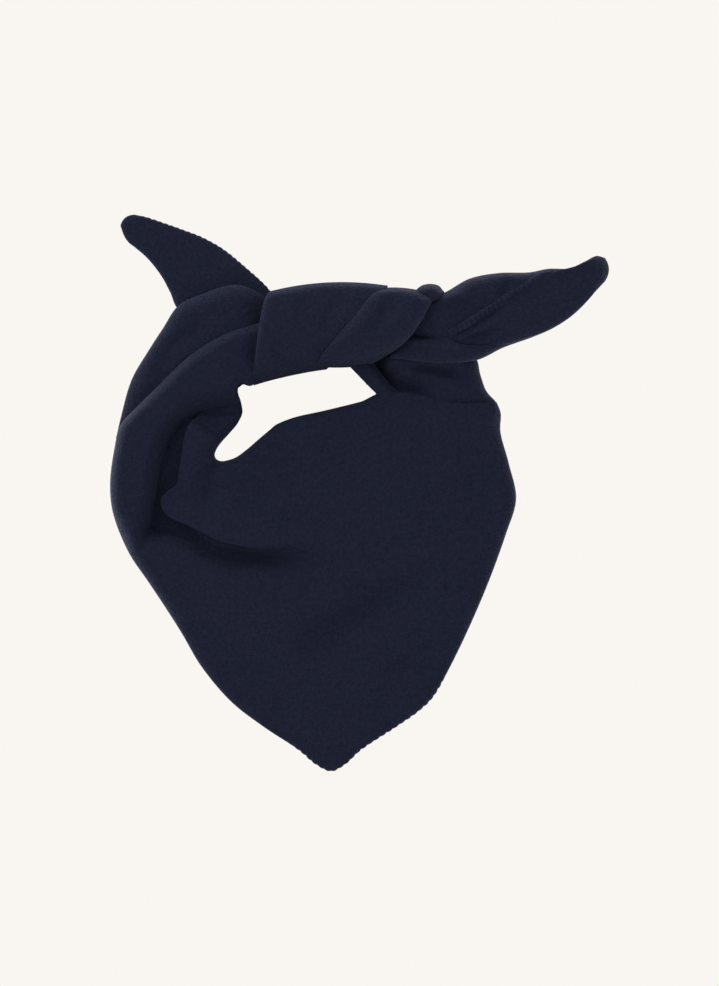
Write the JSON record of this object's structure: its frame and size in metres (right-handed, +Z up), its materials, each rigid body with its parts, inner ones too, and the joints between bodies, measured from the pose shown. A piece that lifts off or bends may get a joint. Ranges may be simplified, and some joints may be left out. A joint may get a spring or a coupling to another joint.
{
  "type": "small knitted cashmere neckerchief shawl, tied in a knot and laid flat",
  "caption": "Small triangular shawl of soft jersey knit, its ends tied in a knot at the nape and laid flat with the point towards the wearer's front.",
  "frame": {"origin": "centre of the bounding box in plan, on the level underside that rests on a surface", "axes": "+Z up out of the surface; +Y from the point of the triangle towards the knot; +X to the right as seen from above"},
  "size_m": [0.3487, 0.3881, 0.0421],
  "materials": {
    "cashmere_knit": "fine jersey knit in dark navy cashmere, soft short nap, no shine"
  },
  "bodies": {
    "root": {"front": "cashmere_knit", "left_roll": "cashmere_knit", "left_outer_fold": "cashmere_knit", "right_neck": "cashmere_knit", "knot_wrap_left": "cashmere_knit", "knot_wrap_right": "cashmere_knit", "knot_fold": "cashmere_knit", "right_tail": "cashmere_knit", "right_tail_flap": "cashmere_knit", "left_tail": "cashmere_knit"}
  },
  "joints": []
}
